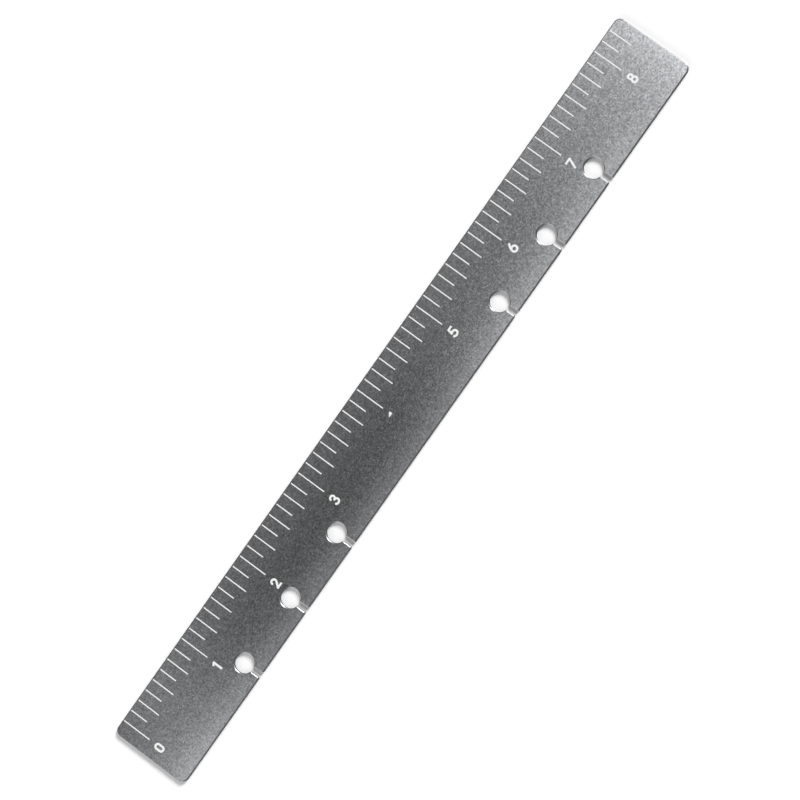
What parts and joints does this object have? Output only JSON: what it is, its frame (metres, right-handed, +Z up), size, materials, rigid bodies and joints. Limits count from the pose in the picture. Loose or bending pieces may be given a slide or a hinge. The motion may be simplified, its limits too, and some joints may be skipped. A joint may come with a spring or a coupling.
{
  "type": "ring binder ruler",
  "caption": "Flat metal ruler with an engraved inch scale along one edge and slotted round holes along the other, to clip over a binder's rings.",
  "frame": {"origin": "middle of the underside, where the flat ruler rests on a page or a table", "axes": "+X runs along the scale from zero to its last line, +Y points at the graduated edge, +Z is up out of the face that carries the scale"},
  "size_m": [0.2176, 0.022, 0.0015],
  "materials": {
    "blade_metal": "fine bead-blasted grey metal, satin"
  },
  "bodies": {
    "root": {"ruler_blade": "blade_metal"}
  },
  "joints": []
}
